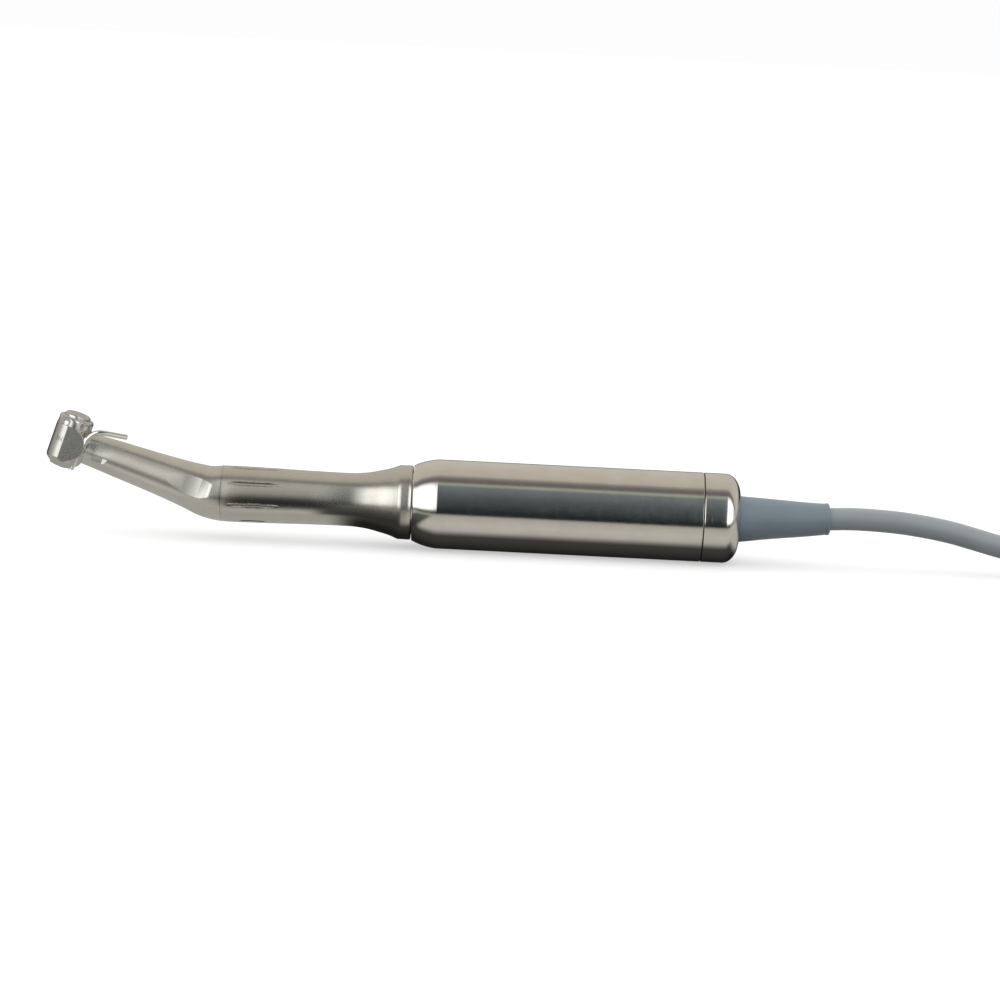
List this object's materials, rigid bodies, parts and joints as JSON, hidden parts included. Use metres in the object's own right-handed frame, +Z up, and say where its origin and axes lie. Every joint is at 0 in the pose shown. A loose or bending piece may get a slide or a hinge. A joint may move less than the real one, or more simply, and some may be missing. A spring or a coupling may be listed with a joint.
{
  "type": "dental handpiece on an electric motor",
  "caption": "Surgical contra-angle handpiece with a push-button chuck and an outside irrigation tube, on a polished electric micromotor with a cable.",
  "frame": {"origin": "on the motor axis, 42 mm behind the front edge of the motor sleeve, near the middle of the barrel", "axes": "+X along the motor axis towards the cable, +Z up on the push-button side, +Y across, completing a right-handed frame"},
  "size_m": [0.306, 0.0238, 0.0321],
  "materials": {
    "blasted_steel": "satin bead-blasted",
    "polished_steel": "polished",
    "motor_steel": "polished with a fine hairline",
    "nose_steel": "turned",
    "boot_rubber": "matte",
    "seal_rubber": "matte",
    "cable_jacket": "satin",
    "copper": "enamelled wire",
    "core_steel": "laminated",
    "bearing_steel": "ground",
    "gear_steel": "ground",
    "spring_steel": "drawn wire",
    "bracket_alloy": "machined",
    "board": "circuit board",
    "insulator": "moulded",
    "contact_brass": "plated"
  },
  "bodies": {
    "motor": {"motor_sleeve": "motor_steel", "rear_cap": "motor_steel", "seam_gasket": "seal_rubber", "motor_nose": "nose_steel", "nose_o_rings": "seal_rubber", "stator_core": "core_steel", "stator_windings": "copper", "motor_bearings": "bearing_steel", "rear_bracket": "bracket_alloy", "sensor_board": "board", "rear_bulkhead": "bracket_alloy", "bulkhead_screws": "bearing_steel", "cable_boot": "boot_rubber", "cable": "cable_jacket", "cable_conductors": "copper", "cable_clamp": "bracket_alloy", "plug_relief": "boot_rubber", "plug_body": "nose_steel", "plug_insulator": "insulator", "plug_pins": "contact_brass"},
    "plug_lock": {"plug_sleeve": "nose_steel"},
    "contra": {"grip_sheath": "blasted_steel", "neck_housing": "blasted_steel", "head_housing": "blasted_steel", "head_cap": "polished_steel", "ring_gear": "gear_steel", "gearbox_bearings": "bearing_steel", "gearbox_spacers": "bracket_alloy", "neck_and_head_bearings": "bearing_steel", "latch_ring": "gear_steel", "irrigation_tube": "polished_steel", "tube_clip": "polished_steel", "spray_nozzle": "polished_steel", "button_spring": "spring_steel"},
    "rotor": {"rotor_shaft": "gear_steel", "rotor_magnet": "core_steel", "rotor_bearing_races": "bearing_steel", "input_shaft": "gear_steel", "first_sun_gear": "gear_steel", "dog_spring": "spring_steel"},
    "dog": {"drive_dog": "gear_steel"},
    "carrier_one": {"carrier_1": "gear_steel", "planet_pins_1": "gear_steel"},
    "carrier_two": {"carrier_2": "gear_steel", "planet_pins_2": "gear_steel", "carrier_bearing_races": "bearing_steel", "bend_gear_grip": "gear_steel"},
    "neck_line": {"neck_shaft": "gear_steel", "bend_gear_neck": "gear_steel", "head_pinion": "gear_steel"},
    "chuck": {"chuck_spindle": "gear_steel", "chuck_collet": "gear_steel", "crown_gear": "gear_steel"},
    "button": {"push_button": "polished_steel"},
    "planet_1a": {"planet_1a": "gear_steel"},
    "planet_1b": {"planet_1b": "gear_steel"},
    "planet_1c": {"planet_1c": "gear_steel"},
    "planet_2a": {"planet_2a": "gear_steel"},
    "planet_2b": {"planet_2b": "gear_steel"},
    "planet_2c": {"planet_2c": "gear_steel"}
  },
  "joints": [
    {"name": "contra_swivel", "type": "hinge", "parent": "motor", "child": "contra", "pos_m": [-0.055, 0, 0], "axis": [1, 0, 0], "continuous": true},
    {"name": "rotor_spin", "type": "hinge", "parent": "contra", "child": "rotor", "pos_m": [0, 0, 0], "axis": [1, 0, 0], "continuous": true},
    {"name": "dog_retract", "type": "slide", "parent": "rotor", "child": "dog", "axis": [1, 0, 0], "range_m": [0, 0.0015], "stiffness_N_per_m": 400, "springref_m": -0.001, "deforming": ["dog_spring"]},
    {"name": "carrier_one_spin", "type": "hinge", "parent": "contra", "child": "carrier_one", "pos_m": [-0.0759, 0, 0], "axis": [1, 0, 0], "continuous": true},
    {"name": "carrier_two_spin", "type": "hinge", "parent": "contra", "child": "carrier_two", "pos_m": [-0.082, 0, 0], "axis": [1, 0, 0], "continuous": true},
    {"name": "neck_shaft_spin", "type": "hinge", "parent": "contra", "child": "neck_line", "pos_m": [-0.13411, 0, 0.01183], "axis": [0.9553, 0, -0.2957], "continuous": true},
    {"name": "chuck_spin", "type": "hinge", "parent": "contra", "child": "chuck", "pos_m": [-0.13411, 0, 0.01183], "axis": [0.2957, 0, 0.9553], "continuous": true},
    {"name": "button_press", "type": "slide", "parent": "contra", "child": "button", "axis": [-0.2957, 0, -0.9553], "range_m": [0, 0.0007], "stiffness_N_per_m": 3000, "springref_m": -0.001, "deforming": ["button_spring"]},
    {"name": "plug_release", "type": "slide", "parent": "motor", "child": "plug_lock", "axis": [-1, 0, 0], "range_m": [0, 0.002], "stiffness_N_per_m": 500, "springref_m": -0.001},
    {"name": "planet_1a_spin", "type": "hinge", "parent": "carrier_one", "child": "planet_1a", "pos_m": [-0.073, 0.0036, 0], "axis": [1, 0, 0], "continuous": true},
    {"name": "planet_1b_spin", "type": "hinge", "parent": "carrier_one", "child": "planet_1b", "pos_m": [-0.073, -0.0018, 0.00312], "axis": [1, 0, 0], "continuous": true},
    {"name": "planet_1c_spin", "type": "hinge", "parent": "carrier_one", "child": "planet_1c", "pos_m": [-0.073, -0.0018, -0.00312], "axis": [1, 0, 0], "continuous": true},
    {"name": "planet_2a_spin", "type": "hinge", "parent": "carrier_two", "child": "planet_2a", "pos_m": [-0.079, 0.0036, 0], "axis": [1, 0, 0], "continuous": true},
    {"name": "planet_2b_spin", "type": "hinge", "parent": "carrier_two", "child": "planet_2b", "pos_m": [-0.079, -0.0018, 0.00312], "axis": [1, 0, 0], "continuous": true},
    {"name": "planet_2c_spin", "type": "hinge", "parent": "carrier_two", "child": "planet_2c", "pos_m": [-0.079, -0.0018, -0.00312], "axis": [1, 0, 0], "continuous": true}
  ],
  "couplings": [
    {"joint": "carrier_one_spin", "follows": "rotor_spin", "ratio": 0.25},
    {"joint": "carrier_two_spin", "follows": "rotor_spin", "ratio": 0.0625},
    {"joint": "neck_shaft_spin", "follows": "rotor_spin", "ratio": 0.0625},
    {"joint": "chuck_spin", "follows": "rotor_spin", "ratio": 0.05},
    {"joint": "planet_1a_spin", "follows": "rotor_spin", "ratio": -0.75},
    {"joint": "planet_1b_spin", "follows": "rotor_spin", "ratio": -0.75},
    {"joint": "planet_1c_spin", "follows": "rotor_spin", "ratio": -0.75},
    {"joint": "planet_2a_spin", "follows": "rotor_spin", "ratio": -0.1875},
    {"joint": "planet_2b_spin", "follows": "rotor_spin", "ratio": -0.1875},
    {"joint": "planet_2c_spin", "follows": "rotor_spin", "ratio": -0.1875}
  ]
}
